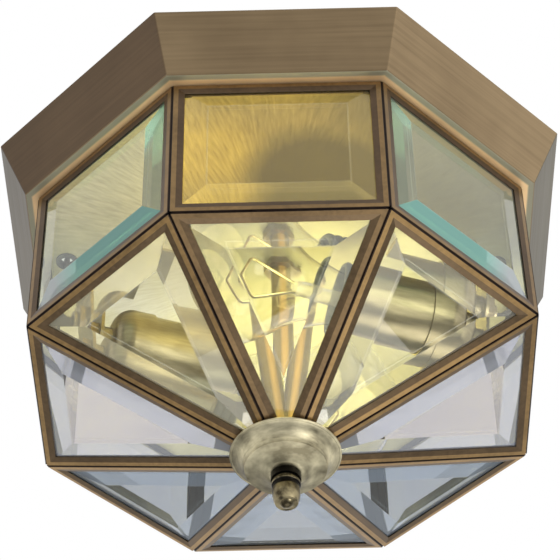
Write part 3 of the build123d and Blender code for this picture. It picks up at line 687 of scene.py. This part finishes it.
# Upright panes: straw in face 1 with green-grey ones beside it, aqua along their feet, and lilac
# further round. Sloping panes: clear on the near side, lilac at the sides and slate on the far side.
# The glass is alike in every pane; these tints and edge colours change by face as painted light and
# shade seen through it
NEAR_FACES = (8, 1, 2)
FAR_FACES = (4, 5, 6)
AQUA_FACES = (2, 8)
CLEAR = (0.93, 0.93, 0.88, 1)
LILAC = (0.78, 0.765, 0.795, 1)
SLATE = (0.46, 0.51, 0.57, 1)
UPRIGHT_TINTS = {
    8: (0.68, 0.71, 0.62, 1),
    1: (0.72, 0.60, 0.30, 1),
    2: (0.82, 0.85, 0.71, 1),
}
BLUE_EDGE = (0.40, 0.50, 0.63, 1)
YELLOW_EDGE = (0.98, 0.82, 0.26, 1)
AQUA_DEPTH = 1.0
UPRIGHT_DEPTH = 0.3
SLOPING_DEPTHS = {8: 0.4, 1: 0.15, 2: 0.2}
SLOPING_DEPTH = 0.45

# Came frames, on their outer faces and on the slopes beside the glass; the darker slopes, side
# frames and near bottom frame are painted shade
SIDE_FACE = (0.290, 0.182, 0.076, 1)
SIDE_SLOPE = (0.120, 0.075, 0.039, 1)
BOTTOM_FACE = (0.430, 0.268, 0.105, 1)
NEAR_BOTTOM_FACE = (0.260, 0.165, 0.075, 1)
BOTTOM_SLOPE = (0.170, 0.110, 0.055, 1)

for face in FACES:
    level = outward(face)
    along = UP.cross(level)
    down = level * math.sin(SLOPE) - UP * math.cos(SLOPE)
    near = face in NEAR_FACES
    far = face in FAR_FACES
    upright_edges = {1: YELLOW_EDGE, 2: aqua_to_lilac(along), 8: aqua_to_lilac(-along)}
    side_glass = bevelled_glass(
        f"side_glass_{face}", level, side_field(along),
        tint=UPRIGHT_TINTS.get(face, LILAC),
        edge=upright_edges.get(face, BLUE_EDGE),
        depth=AQUA_DEPTH if face in AQUA_FACES else UPRIGHT_DEPTH,
    )
    bottom_glass = bevelled_glass(
        f"bottom_glass_{face}", down, bottom_field(level, along),
        tint=CLEAR if near else SLATE if far else LILAC,
        edge=YELLOW_EDGE if near else BLUE_EDGE,
        depth=SLOPING_DEPTHS.get(face, SLOPING_DEPTH),
        bend=FAR_PANE_IOR if far else PANE_IOR,
    )
    # Painted shade: the near bottom frame darker than the other bottom frames
    bottom_face = NEAR_BOTTOM_FACE if face == 1 else BOTTOM_FACE
    dress(side_glass, f"side_pane_{face}")
    dress(bottom_glass, f"bottom_pane_{face}")
    side_came = came_finish(f"side_came_{face}", level, SIDE_FACE, SIDE_SLOPE)
    bottom_came = came_finish(f"bottom_came_{face}", down, bottom_face, BOTTOM_SLOPE)
    dress(side_came, f"side_frame_{face}")
    dress(bottom_came, f"bottom_frame_{face}")
    nodes[f"side_pane_{face}"].visible_shadow = False
    nodes[f"bottom_pane_{face}"].visible_shadow = False

# Lamp light, from the middle of each bulb
LAMP_POWER = {"left": 0.36, "right": 0.15}
LAMP_COLOUR = (1.0, 0.90, 0.40)
LAMP_RADIUS = 0.02
for side in SIDES:
    low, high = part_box(f"bulb_glass_{side}")
    bulb = bpy.data.lights.new(f"lamp_light_{side}", "POINT")
    bulb.energy = LAMP_POWER[side]
    bulb.color = LAMP_COLOUR
    bulb.shadow_soft_size = LAMP_RADIUS
    holder = bpy.data.objects.new(f"lamp_light_{side}", bulb)
    holder.location = (low + high) / 2
    holder.visible_transmission = False
    scene.collection.objects.link(holder)

# Studio: a surround that is white where it is seen and dimmer where it lights, a pale floor far
# below, and three soft boxes
SURROUND_COLOUR = (0.95, 0.97, 1, 1)
SURROUND_STRENGTH = 0.45
world = bpy.data.worlds.new("studio")
scene.world = world
world.use_nodes = True
surround = NodeTree(world.node_tree)
rays = surround.add("ShaderNodeLightPath").outputs
through = surround.math("MAXIMUM", rays["Is Glossy Ray"], rays["Is Transmission Ray"])
seen = surround.math("MAXIMUM", rays["Is Camera Ray"], through)
white = surround.add("ShaderNodeBackground", Color=grey(1), Strength=1.0)
dim = surround.add("ShaderNodeBackground", Color=SURROUND_COLOUR, Strength=SURROUND_STRENGTH)
out = surround.add("ShaderNodeOutputWorld")
surround.feed(out.inputs[0], surround.mix_surface(seen, dim.outputs[0], white.outputs[0]))

FLOOR = -2.4
FLOOR_HALF = 6.0
CORNERS = ((-1, -1), (1, -1), (1, 1), (-1, 1))
floor_mesh = bpy.data.meshes.new("floor")
floor_corners = [(x * FLOOR_HALF, y * FLOOR_HALF, FLOOR) for x, y in CORNERS]
floor_mesh.from_pydata(floor_corners, [], [(0, 1, 2, 3)])
floor = bpy.data.objects.new("floor", floor_mesh)
scene.collection.objects.link(floor)
pale = Shader("pale_floor")
speck = pale.noise(pale.spot(), scale=3.0)
floor_colour = pale.ramp(speck, [(0.3, grey(0.80)), (0.7, grey(0.86))])
floor_mesh.materials.append(pale.finish(pale.principled(Base_Color=floor_colour, Roughness=0.8)))
floor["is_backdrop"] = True

LIGHT_MIDDLE = Vector((0, 0, -0.08))


def softbox(name, place, size, power):
    """Square area light, turned to the middle of the ceiling light."""
    lamp = bpy.data.lights.new(name, "AREA")
    lamp.size = size
    lamp.energy = power
    box = bpy.data.objects.new(name, lamp)
    box.location = place
    box.rotation_mode = "QUATERNION"
    box.rotation_quaternion = (LIGHT_MIDDLE - Vector(place)).to_track_quat("-Z", "Y")
    scene.collection.objects.link(box)


softbox("key", (1.1, -0.9, -0.7), size=0.8, power=9.0)
softbox("fill", (-1.2, -0.6, -1.0), size=1.0, power=3.0)
softbox("under", (0.2, 0.4, -1.4), size=1.0, power=6.0)

# Camera below the light, at the photograph's angle
CAMERA_PLACE = Vector((0.003398, -0.734278, -0.791364))
CAMERA_TARGET = Vector((-0.001008, 0.0, -0.038178))
CAMERA_ROLL = -0.0186
CAMERA_SENSOR = 36.0
CAMERA_LENS = 144.17
CAMERA_NEAREST = 0.01
camera_data = bpy.data.cameras.new("camera")
camera_data.sensor_width = CAMERA_SENSOR
camera_data.lens = CAMERA_LENS
camera_data.clip_start = CAMERA_NEAREST
camera = bpy.data.objects.new("camera", camera_data)
forward = (CAMERA_TARGET - CAMERA_PLACE).normalized()
right = forward.cross(UP).normalized()
up = right.cross(forward)
right, up = (
    right * math.cos(CAMERA_ROLL) + up * math.sin(CAMERA_ROLL),
    up * math.cos(CAMERA_ROLL) - right * math.sin(CAMERA_ROLL),
)
turned = Matrix((right, up, -forward)).transposed().to_4x4()
camera.matrix_world = Matrix.Translation(CAMERA_PLACE) @ turned
scene.collection.objects.link(camera)
scene.camera = camera

# Light passes many panes on its way through the lantern
scene.cycles.max_bounces = 24
scene.cycles.transmission_bounces = 24
scene.cycles.glossy_bounces = 8

bpy.context.view_layer.update()
low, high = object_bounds()
